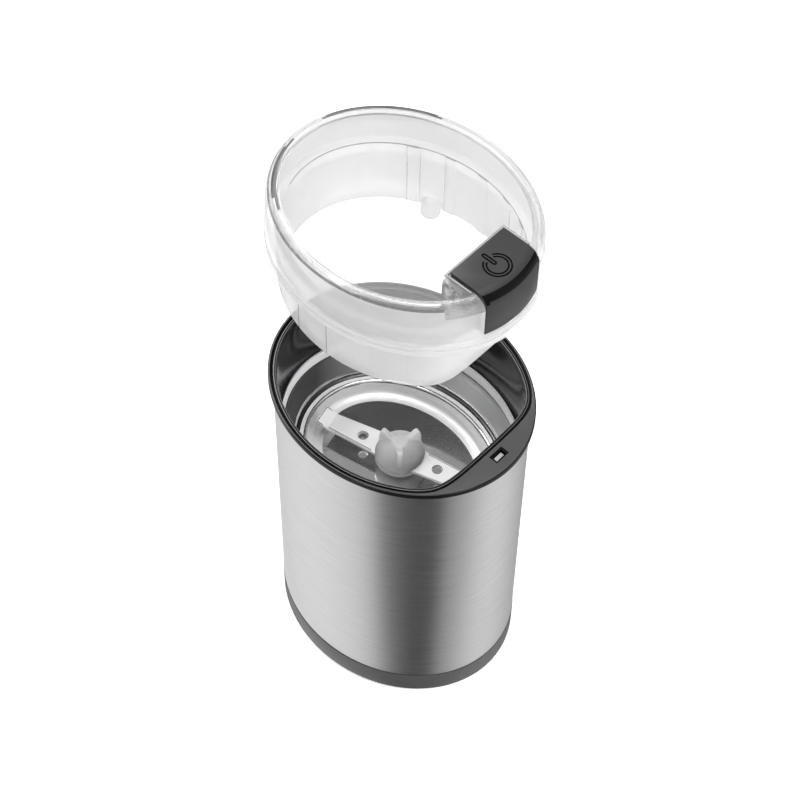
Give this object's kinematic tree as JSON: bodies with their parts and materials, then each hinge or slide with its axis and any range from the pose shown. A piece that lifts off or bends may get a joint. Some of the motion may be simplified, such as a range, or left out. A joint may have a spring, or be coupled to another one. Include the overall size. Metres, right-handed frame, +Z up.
{
  "type": "electric spice grinder",
  "caption": "Oval electric spice grinder: steel body with a sunk steel cup and spinning blade, and a clear lift-off lid whose press button reaches a switch slot in the rim.",
  "frame": {"origin": "on the table under the middle of the body's oval", "axes": "+Z up through the blade's axis, +X along the oval's long axis to the switch and button end, -Y the front broad side"},
  "size_m": [0.096, 0.0812, 0.2266],
  "materials": {
    "sleeve_steel": "brushed round the body",
    "cup_steel": "polished",
    "blade_steel": "bright",
    "base_plastic": "fine grain",
    "black_gloss": "gloss",
    "black_matte": "matte",
    "rubber_black": "matte",
    "zinc_steel": "plated",
    "terminal_cream": "matte",
    "cast_aluminium": "cast",
    "lamination_steel": "stacked sheets",
    "copper": "wound wire",
    "sintered_bronze": "sintered",
    "carbon": "matte",
    "wire_red": "insulated",
    "plunger_plastic": "gloss",
    "hub_plastic": "milky",
    "clear_plastic": "clear",
    "button_plastic": "gloss"
  },
  "bodies": {
    "body": {"outer_shell": "sleeve_steel", "base_ring": "base_plastic", "bottom_cover": "black_matte", "rubber_feet": "rubber_black", "cover_screws": "zinc_steel", "cord_grommet": "rubber_black", "terminal_block": "terminal_cream", "top_rim": "black_gloss", "grinding_cup": "cup_steel", "cup_seal": "rubber_black", "shaft_seal": "rubber_black", "inner_chassis": "black_matte", "motor_mounts": "rubber_black", "motor_top_bracket": "cast_aluminium", "motor_bottom_bracket": "cast_aluminium", "motor_bolts": "zinc_steel", "stator_core": "lamination_steel", "field_coils": "copper", "upper_bearing": "sintered_bronze", "lower_bearing": "sintered_bronze", "brush_holders": "sintered_bronze", "carbon_brushes": "carbon", "thermal_cutout": "terminal_cream", "micro_switch": "black_matte", "switch_leads": "wire_red"},
    "rotor": {"drive_shaft": "blade_steel", "armature_core": "lamination_steel", "armature_windings": "copper", "commutator": "copper", "cooling_fan": "black_matte", "blade": "blade_steel", "blade_hub": "hub_plastic"},
    "plunger": {"switch_plunger": "plunger_plastic"},
    "lid": {"lid_shell": "clear_plastic", "lid_skirt": "clear_plastic", "lid_button_housing": "clear_plastic", "button_spring": "zinc_steel"},
    "button": {"power_button": "button_plastic", "button_push_rod": "plunger_plastic"}
  },
  "joints": [
    {"name": "lid_lift", "type": "slide", "parent": "body", "child": "lid", "axis": [0, 0, 1], "range_m": [-0.0712, 0]},
    {"name": "button_press", "type": "slide", "parent": "lid", "child": "button", "axis": [0, 0, -1], "range_m": [0, 0.003], "stiffness_N_per_m": 300, "springref_m": -0.004, "deforming": ["button_spring"]},
    {"name": "blade_spin", "type": "hinge", "parent": "body", "child": "rotor", "pos_m": [0, 0, 0.0934], "axis": [0, 0, 1], "continuous": true},
    {"name": "switch_press", "type": "slide", "parent": "body", "child": "plunger", "axis": [0, 0, -1], "range_m": [0, 0.002], "stiffness_N_per_m": 300, "springref_m": -0.004}
  ]
}
